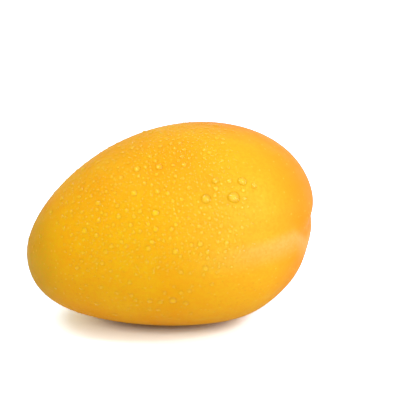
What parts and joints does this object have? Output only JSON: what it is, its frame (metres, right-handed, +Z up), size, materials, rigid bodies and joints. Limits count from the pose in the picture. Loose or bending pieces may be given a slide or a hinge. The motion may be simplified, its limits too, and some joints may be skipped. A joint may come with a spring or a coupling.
{
  "type": "mango",
  "caption": "Whole ripe yellow mango lying on its side, with a narrow tip, a broad stalk end, a shallow furrow along one side and a short stub of stalk in a dimple.",
  "frame": {"origin": "middle of the underside of the bounding box, on the surface that the fruit lies on", "axes": "+X along the fruit towards the stalk end, +Z up; -Y is the side with the furrow"},
  "size_m": [0.1076, 0.084, 0.0746],
  "materials": {
    "skin": "satin",
    "stalk": "matte"
  },
  "bodies": {
    "root": {"mango_fruit": "skin", "stalk_stub": "stalk"}
  },
  "joints": []
}
